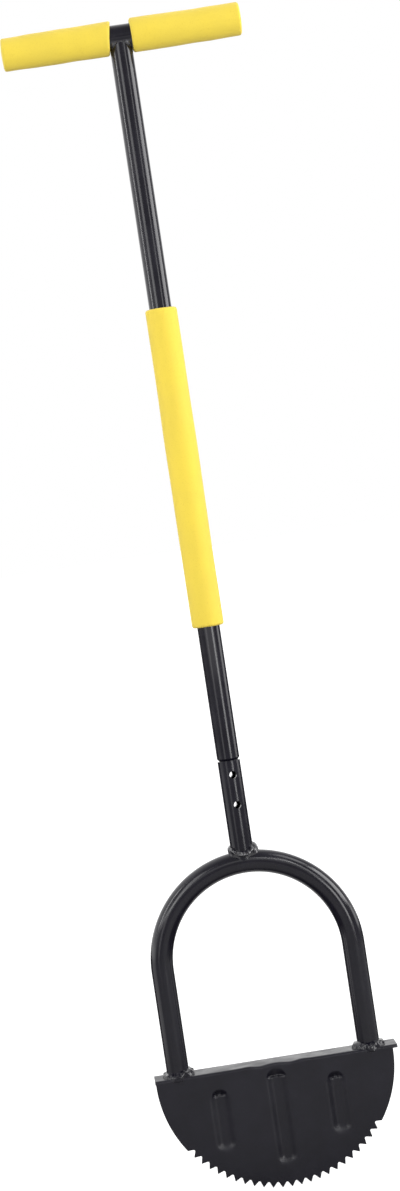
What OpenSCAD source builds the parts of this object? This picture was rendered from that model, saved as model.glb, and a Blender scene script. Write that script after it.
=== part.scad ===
// Half moon edger: a serrated half-moon blade with a folded tread, an arch of bent tube welded on it,
// and a long handle with a crossbar that slips into the arch's socket.
// Lengths are in millimetres and angles in degrees. The blade's face looks along -Y, the handle stands
// along +Z, and the origin lies below the handle, level with the lowest tooth tip.

/* [Blade] */
// Radius of the half moon, from its centre to the tooth tips
blade_r = 101; // [92:1:120]
// Height of the tread's top above the half moon's centre
blade_set = 4; // [1:0.5:6]
// Thickness of the pressed sheet
sheet = 2; // [1.5:0.1:3]
// Depth of a gullet, from tooth tip to root
tooth_depth = 4.5; // [3:0.1:6]
// Angle from one tooth to the next
tooth_pitch = 4.6; // [4:0.1:6]
// Number of gullets along the edge
gullets = 24; // [16:2:28]
// Radius at the root of a gullet
gullet_r = 1.2; // [0.8:0.1:1.6]
// Width of the blunt tip left on each tooth
tooth_land = 0.5; // [0.2:0.1:1]

/* [Ribs] */
// Width across a pressed rib at the blade's face
rib_mouth = 17.5; // [15:0.5:20]
// Width across a rib's flat floor
rib_floor = 9; // [7:0.5:10]
// Depth that a rib is pressed to
rib_depth = 2.8; // [2:0.1:3.5]
// Distance of the middle rib's upper end below the bend
mid_rib_gap = 1; // [1:0.5:10]
// Height of the middle rib's lower end above the tooth tips
mid_rib_foot = 17; // [12:1:40]
// Distance of the side ribs' upper ends below the bend
side_rib_gap = 11; // [5:0.5:20]
// Height of the side ribs' lower ends above the tooth tips
side_rib_foot = 36; // [33:1:50]
// Distance of a side rib from the middle
side_rib_x = 49.5; // [40:0.5:52]

/* [Tread] */
// Depth of the tread, from the blade's face to its back edge
tread_depth = 28; // [26:0.5:36]
// Inner radius of the bend between blade and tread
bend_in_r = 1.5; // [1:0.1:3]
// Length that the tread stands out past the blade at each end
tread_ear = 2.3; // [1:0.1:6]

/* [Arch and socket] */
// Outer diameter of the arch's tube
arch_od = 19; // [16:0.5:22]
// Wall of the arch's tube
arch_wall = 1.5; // [1:0.1:2.5]
// Distance from the tread's end to the centre of a leg
leg_inset = 21.8; // [18:0.2:30]
// Straight length of a leg
leg_len = 89; // [60:0.5:120]
// Outer diameter of the socket's tube
socket_od = 19; // [18:0.5:19]
// Wall of the socket's tube
socket_wall = 1.5; // [1:0.1:2]
// Length of the socket above the arch
socket_len = 77; // [70:0.5:110]
// Diameter of the two cross holes
hole_d = 6.4; // [5:0.1:8]
// Distance of the upper cross hole below the socket's rim
hole_drop = 11.8; // [8:0.1:16]
// Distance between the two cross holes
hole_pitch = 25.5; // [15:0.5:30]
// Turn of the cross holes about the socket, away from square to the blade
hole_turn = 10.5; // [-15:0.5:15]

/* [Shaft] */
// Outer diameter of the shaft's tube
shaft_od = 19; // [18:0.5:20]
// Wall of the shaft's tube
shaft_wall = 1.2; // [1:0.1:1.6]
// Length of the shaft from the socket's rim to the crossbar's axis
shaft_len = 614; // [500:1:800]
// Length of the swaged spigot inside the socket
spigot_len = 52; // [48:1:65]
// Gap all round between spigot and socket
spigot_fit = 0.12; // [0.05:0.01:0.3]
// Length of the cone between the shaft's full tube and its spigot
neck_len = 2; // [1.5:0.5:10]

/* [Crossbar] */
// Outer diameter of the crossbar's tube
bar_od = 21; // [20:0.5:24]
// Wall of the crossbar's tube
bar_wall = 1.5; // [1:0.1:2.5]
// Length over the two grips
bar_span = 203; // [150:1:260]

/* [Foam grips] */
// Distance of a crossbar grip's inner end from the shaft's side
grip_stand = 0.3; // [0.3:0.1:10]
// Diameter of a crossbar grip at its inner end
grip_inner_d = 29; // [26:0.5:34]
// Diameter of a crossbar grip at its closed outer end
grip_outer_d = 27.8; // [25.5:0.1:32]
// Thickness of foam over the crossbar's end
grip_cap = 4; // [3:0.5:8]
// Rounding of a crossbar grip's rims
grip_rim = 1.6; // [0.5:0.1:2]
// Diameter of the shaft's grip
shaft_grip_d = 27; // [25:0.5:34]
// Length of the shaft's grip
shaft_grip_len = 270; // [150:1:320]
// Height of the shaft's grip above the socket's rim
shaft_grip_rise = 114.5; // [60:0.5:150]
// Rounding of the shaft grip's rims
shaft_grip_rim = 2; // [0.5:0.1:2.4]
// Gap between foam and tube
foam_fit = 0.05; // [0:0.01:0.2]

/* [Welds] */
// Reach of the weld bead round a leg's foot
leg_bead = 4; // [2.5:0.1:5]
// Reach of the weld bead between arch and socket
crown_bead = 4.6; // [2.5:0.1:6]
// Reach of the weld beads between shaft and crossbar
bar_bead = 2; // [1.5:0.1:2.5]
// Width of those beads, in front and behind, between the two grips
bar_bead_w = 16; // [12:0.5:17]
// Number of ripples round a bead
bead_ripples = 12; // [4:4:16]
// Gap left at the root of a coped tube
weld_gap = 0.2; // [0.15:0.05:0.4]

/* [Hidden] */
$fn = 64;

paint_black = [0.17, 0.17, 0.19];
foam_yellow = [0.94, 0.85, 0.30];

// How far a cut runs past the face that it opens
overrun = 1;
// Gap between a bead and the arch below it, so that the two faces never meet on edge
bead_seat = 0.15;
// Height of the ripples as a share of the bead's reach
ripple_share = 0.12;
// Steps of the ribs' flanks, the gullets' roots and the grips' rims
rib_steps = 8;
gullet_steps = 5;
rim_steps = 6;
// Rings round a bead, and sides of its section
bead_rings = 48;
bead_sides = 8;
// Length of the chamfer at the spigot's tip, and the play at its neck
spigot_lead = 1;
neck_play = 0.3;

// Places across and through the tread
face_y = -tread_depth / 2;
tread_len = 2 * (blade_r + tread_ear);
leg_x = tread_len / 2 - leg_inset;

// Heights, from the tooth tips up
tread_top = blade_r + blade_set;
bend_out_r = bend_in_r + sheet;
plate_top = tread_top - bend_out_r;
bend_z = tread_top + leg_len;
crown_z = bend_z + leg_x;
socket_rim = crown_z + arch_od / 2 + socket_len;
bar_z = socket_rim + shaft_len;

// Tubes
arch_r = arch_od / 2;
socket_r = socket_od / 2;
socket_bore_r = socket_r - socket_wall;
shaft_r = shaft_od / 2;
spigot_r = socket_bore_r - spigot_fit;
bar_r = bar_od / 2;
bar_gap = shaft_od + 2 * grip_stand;

// One gullet: its root circle's centre, its mouth, and the tangent from the mouth to the root
root_y = blade_r - tooth_depth + gullet_r;
mouth = [blade_r * sin(tooth_pitch / 2) - tooth_land / 2, blade_r * cos(tooth_pitch / 2)];
mouth_reach = mouth - [0, root_y];
flank_a = atan2(mouth_reach.y, mouth_reach.x) - acos(gullet_r / norm(mouth_reach));
flank_root = [gullet_r * cos(flank_a), root_y + gullet_r * sin(flank_a)];
flank_end = mouth + overrun * (mouth - flank_root) / norm(mouth - flank_root);

// A rib's flank is one smooth step. Its back is set out so far that the sheet keeps its thickness.
rib_flank = (rib_mouth - rib_floor) / 2;
rib_slope = atan(PI / 2 * rib_depth / rib_flank);
rib_back_grow = sheet * tan(rib_slope / 2);

// Points of an arc about a centre
function arc(centre, r, a0, a1, steps) =
    [for (i = [0 : steps]) let (a = a0 + (a1 - a0) * i / steps) centre + r * [cos(a), sin(a)]];

// One gullet, opening away from the half moon's centre along +Y
module gullet() {
    root = arc([0, root_y], gullet_r, 180 - flank_a, 360 + flank_a, gullet_steps);
    polygon(concat([[-flank_end.x, flank_end.y]], root, [flank_end]));
}

// Outline of the flat blade below the bend, with its lowest tooth tip at the origin
module half_moon() {
    translate([0, blade_r])
        difference() {
            intersection() {
                circle(r = blade_r, $fn = 180);
                translate([-blade_r, -blade_r])
                    square([2 * blade_r, plate_top]);
            }
            for (i = [0 : gullets - 1])
                rotate(180 + (i + 0.5 - gullets / 2) * tooth_pitch)
                    gullet();
        }
}

// Section of the bend and the tread, about the bend's centre: x runs back and y up
module tread_section() {
    difference() {
        intersection() {
            circle(r = bend_out_r);
            translate([-bend_out_r, 0])
                square(bend_out_r);
        }
        circle(r = bend_in_r);
    }
    translate([0, bend_in_r])
        square([tread_depth - bend_out_r, sheet]);
}

// Half the section of a rib: depth over the distance from its middle line, down to the given base
function rib_half(grow, base) = concat(
    [[0, base], [rib_mouth / 2 + grow, base]],
    [for (i = [0 : rib_steps])
        [rib_mouth / 2 + grow - rib_flank * i / rib_steps, rib_depth * (1 - cos(180 * i / rib_steps)) / 2]],
    [[0, rib_depth]]);

// Body of a rib between two heights, pressed in along +Y, with round ends
module rib_body(foot, head, grow, base) {
    half = rib_half(grow, base);
    low = foot + rib_mouth / 2;
    high = head - rib_mouth / 2;
    translate([0, 0, low])
        linear_extrude(high - low)
            for (side = [0, 1])
                mirror([side, 0])
                    polygon(half);
    for (z = [low, high])
        translate([0, 0, z])
            rotate([-90, 0, 0])
                rotate_extrude()
                    polygon(half);
}

// The three ribs, each at its place on the blade
module ribs(grow, base) {
    rib_body(mid_rib_foot, plate_top - mid_rib_gap, grow, base);
    for (side = [-1, 1])
        translate([side * side_rib_x, 0, 0])
            rib_body(side_rib_foot, plate_top - side_rib_gap, grow, base);
}

// The arch's centre line swept with a round section of radius r, its feet lengthened by foot
module arch_sweep(r, foot) {
    translate([0, 0, bend_z])
        rotate([90, 0, 0])
            rotate_extrude(angle = 180)
                translate([leg_x, 0])
                    circle(r = r);
    for (side = [-1, 1])
        translate([side * leg_x, 0, tread_top - foot])
            cylinder(r = r, h = leg_len + foot);
}

// The two holes across the socket and the spigot
module cross_holes() {
    for (i = [0, 1])
        translate([0, 0, socket_rim - hole_drop - i * hole_pitch])
            rotate([90, 0, hole_turn])
                cylinder(d = hole_d, h = socket_od + 2 * overrun, center = true);
}

// Height of the arch's upper surface above its bend centre, over the point x, y
function crown_height(x, y) =
    sqrt(pow(leg_x + sqrt(max(0, arch_r * arch_r - y * y)), 2) - x * x);

// Depth of the crossbar's lower surface below its axis, at y
function bar_depth(y) = sqrt(max(0, bar_r * bar_r - y * y));

// A rippled bead along a closed seam round a tube of radius r, at the height given for each ring
module bead(r, heights, reach) {
    points = [for (i = [0 : bead_rings - 1], j = [0 : bead_sides - 1])
        let (a = 360 * i / bead_rings, t = 360 * (j + 0.5) / bead_sides)
        let (s = reach * (1 + ripple_share * cos(bead_ripples * a)))
        [(r + s * cos(t)) * cos(a), (r + s * cos(t)) * sin(a), heights[i] + s * sin(t)]];
    faces = [for (i = [0 : bead_rings - 1], j = [0 : bead_sides - 1])
        let (i2 = (i + 1) % bead_rings, j2 = (j + 1) % bead_sides)
        let (p = i * bead_sides, q = i2 * bead_sides)
        for (f = [[p + j, p + j2, q + j2], [p + j, q + j2, q + j]]) f];
    polyhedron(points, faces);
}

// Place on a seam of radius r at each ring of a bead
function seam(r) = [for (i = [0 : bead_rings - 1]) r * [cos(360 * i / bead_rings), sin(360 * i / bead_rings)]];

// Bead round one leg's foot, cut clear of leg and tread
module leg_weld() {
    reach = leg_bead * (1 + ripple_share) + overrun;
    difference() {
        bead(arch_r, [for (p = seam(arch_r)) 0], leg_bead);
        translate([0, 0, -reach])
            cylinder(r = arch_r, h = 2 * reach);
        translate([-arch_r - reach, -arch_r - reach, -2 * reach])
            cube([2 * (arch_r + reach), 2 * (arch_r + reach), 2 * reach]);
    }
}

// Foam sleeve of a crossbar grip along +Z, with its inner end at the origin and its outer end closed
module bar_sleeve() {
    bore = bar_r + foam_fit;
    length = (bar_span - bar_gap) / 2;
    inner_r = grip_inner_d / 2;
    outer_r = grip_outer_d / 2;
    rotate_extrude()
        polygon(concat(
            [[bore, 0]],
            arc([inner_r - grip_rim, grip_rim], grip_rim, -90, 0, rim_steps),
            arc([outer_r - grip_rim, length - grip_rim], grip_rim, 0, 90, rim_steps),
            [[0, length], [0, length - grip_cap], [bore, length - grip_cap]]));
}

module bar_grip() {
    translate([bar_gap / 2, 0, bar_z])
        rotate([0, 90, 0])
            bar_sleeve();
}

// Half-moon blade, ribs, bend and tread, pressed from one sheet
module blade() {
    color(paint_black)
        difference() {
            union() {
                translate([0, face_y + sheet, 0])
                    rotate([90, 0, 0])
                        linear_extrude(sheet)
                            half_moon();
                translate([-tread_len / 2, face_y + bend_out_r, plate_top])
                    rotate([90, 0, 90])
                        linear_extrude(tread_len)
                            tread_section();
                translate([0, face_y + sheet, 0])
                    ribs(rib_back_grow, -sheet / 2);
            }
            translate([0, face_y, 0])
                ribs(0, -overrun);
        }
}

// Bent tube that stands on the tread
module arch() {
    color(paint_black)
        difference() {
            arch_sweep(arch_r, 0);
            arch_sweep(arch_r - arch_wall, overrun);
        }
}

// Short tube, coped to the arch, that takes the shaft's spigot
module socket() {
    color(paint_black)
        difference() {
            translate([0, 0, crown_z])
                cylinder(r = socket_r, h = socket_rim - crown_z);
            translate([0, 0, crown_z - overrun])
                cylinder(r = socket_bore_r, h = socket_rim - crown_z + 2 * overrun);
            arch_sweep(arch_r + weld_gap, 0);
            cross_holes();
        }
}

module left_leg_weld() {
    color(paint_black)
        translate([-leg_x, 0, tread_top])
            leg_weld();
}

module right_leg_weld() {
    color(paint_black)
        translate([leg_x, 0, tread_top])
            leg_weld();
}

// Bead in the saddle between arch and socket
module crown_weld() {
    seat = [for (p = seam(socket_r)) crown_height(p.x, p.y)];
    color(paint_black)
        difference() {
            translate([0, 0, bend_z])
                bead(socket_r, seat, crown_bead);
            translate([0, 0, bend_z])
                cylinder(r = socket_r, h = socket_rim - bend_z);
            arch_sweep(arch_r + bead_seat, 0);
        }
}

// Long tube with a swaged spigot below, coped to the crossbar above
module shaft() {
    neck_z = socket_rim + neck_play;
    tip_z = socket_rim - spigot_len;
    color(paint_black)
        difference() {
            rotate_extrude()
                polygon([
                    [spigot_r - shaft_wall, tip_z],
                    [spigot_r - spigot_lead / 2, tip_z],
                    [spigot_r, tip_z + spigot_lead],
                    [spigot_r, neck_z],
                    [shaft_r, neck_z + neck_len],
                    [shaft_r, bar_z],
                    [shaft_r - shaft_wall, bar_z],
                    [shaft_r - shaft_wall, neck_z + neck_len],
                    [spigot_r - shaft_wall, neck_z]]);
            cross_holes();
            translate([0, 0, bar_z])
                rotate([0, 90, 0])
                    cylinder(r = bar_r + weld_gap, h = shaft_od + 2 * overrun, center = true);
        }
}

// Straight tube across the top of the shaft
module crossbar() {
    length = bar_span - 2 * grip_cap;
    color(paint_black)
        translate([0, 0, bar_z])
            rotate([0, 90, 0])
                difference() {
                    cylinder(r = bar_r, h = length, center = true);
                    cylinder(r = bar_r - bar_wall, h = length + 2 * overrun, center = true);
                }
}

// Beads in front of and behind the saddle between shaft and crossbar, clear of the grips
module crossbar_weld() {
    depth = [for (p = seam(shaft_r)) -bar_depth(p.y)];
    color(paint_black)
        translate([0, 0, bar_z])
            difference() {
                intersection() {
                    bead(shaft_r, depth, bar_bead);
                    cube([bar_bead_w, 2 * bar_od, 2 * bar_od], center = true);
                }
                translate([0, 0, -2 * bar_od])
                    cylinder(r = shaft_r, h = 2 * bar_od);
                rotate([0, 90, 0])
                    cylinder(r = bar_r + bead_seat, h = 2 * bar_od, center = true);
            }
}

// Foam sleeve on the shaft, open at both ends
module shaft_grip() {
    bore = shaft_r + foam_fit;
    sleeve_r = shaft_grip_d / 2;
    color(foam_yellow)
        translate([0, 0, socket_rim + shaft_grip_rise])
            rotate_extrude()
                polygon(concat(
                    [[bore, 0]],
                    arc([sleeve_r - shaft_grip_rim, shaft_grip_rim], shaft_grip_rim, -90, 0, rim_steps),
                    arc([sleeve_r - shaft_grip_rim, shaft_grip_len - shaft_grip_rim],
                        shaft_grip_rim, 0, 90, rim_steps),
                    [[bore, shaft_grip_len]]));
}

module left_grip() {
    color(foam_yellow)
        mirror([1, 0, 0])
            bar_grip();
}

module right_grip() {
    color(foam_yellow)
        bar_grip();
}

blade();
arch();
socket();
left_leg_weld();
right_leg_weld();
crown_weld();
shaft();
crossbar();
crossbar_weld();
shaft_grip();
left_grip();
right_grip();
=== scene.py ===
"""Looks of a half moon edger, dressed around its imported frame.

The blade, the weld beads and the foam grips are surfaces worked out with numpy. The tubes are the
frame's own solids with painted materials. Lengths are in metres, in the frame's axes: the blade's
face looks along -Y and the handle stands along +Z.
"""

import math

import bmesh
import bpy
import numpy as np
from bpy.props import FloatProperty, FloatVectorProperty, IntProperty, PointerProperty
from bpy.types import Operator, Panel, PropertyGroup
from mathutils import Matrix, Vector


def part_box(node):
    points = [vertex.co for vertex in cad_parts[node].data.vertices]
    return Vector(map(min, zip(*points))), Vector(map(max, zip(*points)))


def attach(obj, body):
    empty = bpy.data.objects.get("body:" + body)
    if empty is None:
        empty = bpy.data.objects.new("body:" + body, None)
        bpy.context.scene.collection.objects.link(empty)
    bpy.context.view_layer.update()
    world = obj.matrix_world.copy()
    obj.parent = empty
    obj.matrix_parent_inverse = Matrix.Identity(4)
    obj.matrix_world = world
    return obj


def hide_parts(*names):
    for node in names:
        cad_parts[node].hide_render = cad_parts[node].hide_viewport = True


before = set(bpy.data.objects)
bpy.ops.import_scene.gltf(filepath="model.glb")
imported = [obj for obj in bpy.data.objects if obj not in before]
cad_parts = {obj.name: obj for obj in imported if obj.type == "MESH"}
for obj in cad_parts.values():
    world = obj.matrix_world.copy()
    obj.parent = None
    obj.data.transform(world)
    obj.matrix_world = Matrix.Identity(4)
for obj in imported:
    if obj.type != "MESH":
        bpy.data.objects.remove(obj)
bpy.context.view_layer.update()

bl_info = {
    "name": "Half Moon Edger",
    "version": (1, 0, 0),
    "blender": (4, 5, 0),
    "location": "View3D > Sidebar > Edger",
    "description": "Dresses a half moon edger: pressed blade, weld beads, foam grips, paint and studio",
    "category": "Add Mesh",
}

MM = 0.001

# Numbers of samples, which set how fine the meshes are
MARK_ROWS = 38
PLATE_ROWS = 50
TOOTH_ROWS = 6
FLANK_COLS = 4
SIDE_COLS = 38
BEND_STEPS = 13
TREAD_STEPS = 16
BEAD_ROWS = 240
BEAD_COLS = 22
SLEEVE_STEPS = 40
RIM_STEPS = 7
DOME_STEPS = 12
BORE_STEPS = 10
GRIP_COLS = 96
FLOOR_COLS = 96

# Seeds of the random unevenness, one for each piece that has it
SEEDS = {
    "left_foot_weld": 3,
    "right_foot_weld": 8,
    "arch_crown_weld": 21,
    "crossbar_saddle_weld": 5,
    "shaft_foam_grip": 11,
    "left_foam_grip": 4,
    "right_foam_grip": 9,
}


def corners(node):
    """Lowest and highest corner of a solid's box, as arrays."""
    return [np.array(corner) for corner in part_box(node)]


# Places that follow from the frame's own solids
BLADE_LOW, BLADE_HIGH = corners("blade")
BAR_LOW, BAR_HIGH = corners("crossbar")
ARCH_HIGH = corners("arch")[1]
FACE_Y = BLADE_LOW[1]
BACK_Y = BLADE_HIGH[1]
TREAD_TOP = BLADE_HIGH[2]
TREAD_HALF = BLADE_HIGH[0]
ARCH_R = ARCH_HIGH[1]
LEG_X = ARCH_HIGH[0] - ARCH_R
BEND_Z = ARCH_HIGH[2] - ARCH_R - LEG_X
SOCKET_R = corners("socket")[1][0]
SHAFT_R = corners("shaft")[1][0]
BAR_R = BAR_HIGH[1]
BAR_Z = (BAR_LOW[2] + BAR_HIGH[2]) / 2


def length(name, description, default):
    """A length property in metres."""
    return FloatProperty(name=name, description=description, default=default, unit="LENGTH", precision=5)


def angle(name, description, degrees):
    """An angle property, given in degrees."""
    return FloatProperty(name=name, description=description, default=math.radians(degrees), unit="ROTATION")


def share(name, description, default):
    """A plain number without a unit."""
    return FloatProperty(name=name, description=description, default=default, precision=4)


def count(name, description, default):
    """A whole number."""
    return IntProperty(name=name, description=description, default=default, min=1)


def colour(name, description, default):
    """A linear colour without alpha."""
    return FloatVectorProperty(name=name, description=description, default=default, subtype="COLOR", size=3)


def point(name, description, default):
    """A place in metres."""
    return FloatVectorProperty(name=name, description=description, default=default, subtype="TRANSLATION",
                               unit="LENGTH")


class EdgerBlade(PropertyGroup):
    """Sizes of the pressed blade."""

    radius: length("Half moon radius", "From the half moon's centre to the tooth tips", 101 * MM)
    sheet: length("Sheet", "Thickness of the pressed sheet", 2 * MM)
    bend_r: length("Bend radius", "Inner radius of the bend between blade and tread", 0.8 * MM)
    edge_round: length("Edge rounding", "Rounding of the painted sheet's edges", 0.35 * MM)
    gullets: count("Gullets", "Number of gullets along the cutting edge", 24)
    pitch: angle("Tooth pitch", "Angle from one tooth to the next", 4.6)
    tooth_depth: length("Tooth depth", "From tooth tip to gullet root", 4.5 * MM)
    root_r: length("Root radius", "Radius at the root of a gullet", 1.2 * MM)
    land: length("Tooth land", "Width of the blunt tip of a tooth", 0.5 * MM)
    rib_mouth: length("Rib mouth", "Width across a rib at the blade's face", 19 * MM)
    rib_flank: length("Rib flank", "Width of a rib's sloping side", 7 * MM)
    rib_fade: length("Rib fade", "Length over which a rib's lower end runs out", 9 * MM)
    rib_depth: length("Rib depth", "Depth of a rib along its length", 2.2 * MM)
    mark_wide: length("Punch mark width", "Width of the punch mark at a rib's upper end", 11.6 * MM)
    mark_high: length("Punch mark height", "Height of the punch mark's sloping roof", 4.6 * MM)
    mark_deep: length("Punch mark depth", "Depth of the punch mark at its lip", 4.4 * MM)
    mark_lip: length("Punch mark lip", "Height over which the mark's lip comes back out", 3.4 * MM)
    mid_mark: share("Middle mark", "Size of the middle rib's punch mark against the others", 1.3)
    crease_r: length("Crease rounding", "Rounding of the pressed creases", 0.5 * MM)
    side_rib_x: length("Side rib place", "Distance of a side rib from the middle", 49.5 * MM)
    side_rib_foot: length("Side rib foot", "Height of a side rib's lower end", 35.5 * MM)
    side_rib_head: length("Side rib head", "Height of a side rib's upper end", 90.5 * MM)
    mid_rib_foot: length("Middle rib foot", "Height of the middle rib's lower end", 17 * MM)
    mid_rib_head: length("Middle rib head", "Height of the middle rib's upper end", 100.5 * MM)
    wave: length("Bend wave", "Height of the wave that the middle rib leaves in the bend", 0.7 * MM)
    plate_shift: length("Plate shift", "How far the half moon is cut off centre", -0.6 * MM)
    tread_shift: length("Tread shift", "How far the tread's ends are cut off centre", 1.2 * MM)


class EdgerWelds(PropertyGroup):
    """Sizes of the weld beads."""

    leg_reach: length("Leg bead", "Reach of the bead round a leg's foot", 4.6 * MM)
    crown_reach: length("Crown bead", "Reach of the bead between arch and socket", 4.6 * MM)
    crown_dip: length("Crown dip", "How far the bead's upper edge dips in front of the socket", 4.8 * MM)
    bar_reach: length("Crossbar bead", "Reach of the beads between shaft and crossbar", 2.2 * MM)
    bar_line: length("Crossbar line", "Drop of the beads' level upper edge below the bar's axis", 5 * MM)
    lump: share("Lump height", "Height of the lumps as a share of the bead's reach", 0.34)
    leg_lumps: count("Leg lumps", "Number of large lumps round a leg's foot", 13)
    leg_grains: count("Leg grains", "Number of small lumps round a leg's foot", 37)
    crown_lumps: count("Crown lumps", "Number of large lumps round the socket", 9)
    crown_grains: count("Crown grains", "Number of small lumps round the socket", 27)
    bar_lumps: count("Crossbar lumps", "Number of lumps round the shaft's upper end", 17)
    sunk: length("Sunk", "How far a bead's edges lie inside the tubes", 0.25 * MM)


class EdgerGrips(PropertyGroup):
    """Sizes of the foam grips."""

    rim: length("Rim rounding", "Rounding of the foam's rims", 2.2 * MM)
    crown: length("End crown", "How far a closed end bulges", 0.7 * MM)
    sag: length("Unevenness", "Slow unevenness of the moulded foam", 0.22 * MM)
    left_lean: length("Left lean", "How far the left grip's top leans over the bare crossbar", 3.8 * MM)
    right_lean: length("Right lean", "How far the right grip's top leans over the bare crossbar", 0.5 * MM)
    end_shift: length("End shift", "How far the closed ends sit to the right", 1.4 * MM)
    taper: length("Taper", "How much thinner the closed ends are", 0.6 * MM)
    tilt: angle("Tilt", "Slight tilt of the two grips on the crossbar", 0.7)


class EdgerColours(PropertyGroup):
    """Colours of paint and foam, and how smooth the paint lies."""

    tube_paint: colour("Tube paint", "Black paint of the tubes", (0.0052, 0.0046, 0.0092))
    blade_paint: colour("Blade paint", "Black paint of the blade", (0.0042, 0.0036, 0.0088))
    dust: colour("Dust", "Dust and fine scuffs on the paint", (0.11, 0.11, 0.115))
    foam: colour("Foam", "Yellow of the foam", (0.83, 0.632, 0.06))
    # Painted shade: a darker yellow for the foam's pits, standing for the shade inside them
    pore_shade: colour("Foam pores", "Yellow in the foam's pores", (0.62, 0.43, 0.03))
    tube_rough: share("Tube roughness", "Roughness of the tubes' paint", 0.17)
    tube_peel: length("Tube peel", "Height of the orange peel on the tubes", 0.003 * MM)
    blade_rough: share("Blade roughness", "Roughness of the blade's paint", 0.36)
    blade_peel: length("Blade peel", "Height of the orange peel on the blade", 0.02 * MM)
    weld_rough: share("Weld roughness", "Roughness of the welds' paint", 0.2)
    weld_peel: length("Weld peel", "Height of the fine roughness of the welds", 0.3 * MM)


class EdgerStage(PropertyGroup):
    """Camera, light and floor."""

    eye: point("Camera", "Place of the camera", (-0.106, -2.533, 0.573))
    target: point("Target", "Point at the picture's centre", (-0.00308, 0, 0.50326))
    roll: angle("Roll", "Turn of the camera about its own axis", 8.576)
    lens: FloatProperty(name="Lens", description="Focal length", default=91.03, min=1, unit="CAMERA")
    sensor: FloatProperty(name="Sensor", description="Sensor's long side", default=36, min=1, unit="CAMERA")
    floor_r: length("Floor radius", "Radius of the pale floor", 45)
    floor_tone: share("Floor tone", "Grey of the floor in front of the object", 0.42)
    room: share("Room", "Brightness of the dim room", 0.42)
    room_glow: share("Room glow", "Brightness added to the room at the left and the back", 1.32)


# Meshes from arrays

def grid_quads(rows, cols, wrap_rows=False, wrap_cols=False):
    """Quads of a grid of rows by cols points stored row after row, optionally closed in either direction."""
    i = np.arange(rows if wrap_rows else rows - 1)[:, None]
    j = np.arange(cols if wrap_cols else cols - 1)[None, :]
    i2, j2 = (i + 1) % rows, (j + 1) % cols
    return np.stack([i * cols + j, i * cols + j2, i2 * cols + j2, i2 * cols + j], axis=-1).reshape(-1, 4)


def make_piece(name, points, quads, material, merge=0.0, sharp=None):
    """A mesh object at the origin from an array of points and an array of quads, with smooth shading.

    merge joins points closer than that, which closes seams and poles. sharp splits the shading past that
    angle.
    """
    mesh = bpy.data.meshes.new(name)
    mesh.from_pydata(points.reshape(-1, 3).tolist(), [], quads.tolist())
    if merge:
        weld_points(mesh, merge)
    mesh.validate()
    mesh.shade_smooth()
    if sharp is not None:
        mesh.set_sharp_from_angle(angle=sharp)
    mesh.materials.append(material)
    piece = bpy.data.objects.new(name, mesh)
    bpy.context.scene.collection.objects.link(piece)
    return piece


def closed_piece(name, points, material, merge, sharp=None):
    """A piece from a grid of points that closes in both directions."""
    quads = grid_quads(*points.shape[:2], wrap_rows=True, wrap_cols=True)
    return make_piece(name, points, quads, material, merge, sharp)


def weld_points(mesh, distance):
    """Joins doubled points, drops the faces that collapse, and turns all faces outwards."""
    bm = bmesh.new()
    bm.from_mesh(mesh)
    bmesh.ops.remove_doubles(bm, verts=bm.verts, dist=distance)
    bmesh.ops.dissolve_degenerate(bm, edges=bm.edges, dist=distance)
    bmesh.ops.recalc_face_normals(bm, faces=bm.faces)
    bm.to_mesh(mesh)
    bm.free()


def place(piece, body, slot, *nodes):
    """Hands a finished piece to the frame: the body it rides on, its finish slot, which is not used, and the
    solids it stands for, which it hides.
    """
    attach(piece, body)
    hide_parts(*nodes)


def smooth(t):
    """Smooth step from 0 to 1, flat at both ends: 3t^2 - 2t^3 of t held between 0 and 1."""
    t = np.clip(t, 0.0, 1.0)
    return t * t * (3 - 2 * t)


def bell(t):
    """Bell of height 1 about zero: exp(-t^2)."""
    return np.exp(-np.square(t))


# Blade

def gullet_flank(s):
    """A gullet's flank, seen from the half moon's centre with the gullet's axis upright.

    The flank runs from the mouth as a tangent to the root circle. Returns the height of that circle's centre
    and the flank's foot and mouth.
    """
    root = s.radius - s.tooth_depth + s.root_r
    mouth = np.array([s.radius * math.sin(s.pitch / 2) - s.land / 2, s.radius * math.cos(s.pitch / 2)])
    reach = mouth - (0, root)
    tangent = math.atan2(reach[1], reach[0]) - math.acos(s.root_r / np.hypot(*reach))
    foot = np.array([s.root_r * math.cos(tangent), root + s.root_r * math.sin(tangent)])
    return root, foot, mouth


def gullet_edge(phi, s):
    """Distance from the half moon's centre to the cutting edge, at angles phi from a gullet's axis.

    A ray meets the root circle near the axis, then the flank tangent to it, then the tip circle.
    """
    root, foot, mouth = gullet_flank(s)
    flank = mouth - foot
    a = np.abs(phi)
    on_root = root * np.cos(a) - np.sqrt(np.maximum(s.root_r**2 - (root * np.sin(a)) ** 2, 0))
    crossing = np.sin(a) * flank[1] - np.cos(a) * flank[0]
    on_flank = (foot[0] * flank[1] - foot[1] * flank[0]) / crossing
    return np.where(a <= math.atan2(*foot), on_root, np.where(a < math.atan2(*mouth), on_flank, s.radius))


def edge_angles(s, top):
    """Angles from straight down at which the blade's edge is sampled, and the edge's distance at each.

    Each gullet has samples on its mouth, flanks and root. The plain sides run up to the height top.
    """
    root_end, mouth_end = (math.atan2(*end) for end in gullet_flank(s)[1:])
    flank = np.linspace(mouth_end, root_end, FLANK_COLS)
    local = np.concatenate([-flank, [-root_end / 2, 0, root_end / 2], flank[::-1]])
    axes = (np.arange(s.gullets) + 0.5 - s.gullets / 2) * s.pitch
    teeth = (axes[:, None] + local[None, :]).ravel()
    tooth_r = np.tile(gullet_edge(local, s), s.gullets)
    side_end = math.acos(-top / s.radius)
    side = np.linspace(teeth[-1], side_end, SIDE_COLS)[1:]
    theta = np.concatenate([-side[::-1], teeth, side])
    plain = np.full(len(side), s.radius)
    return theta, np.concatenate([plain, tooth_r, plain])


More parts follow.
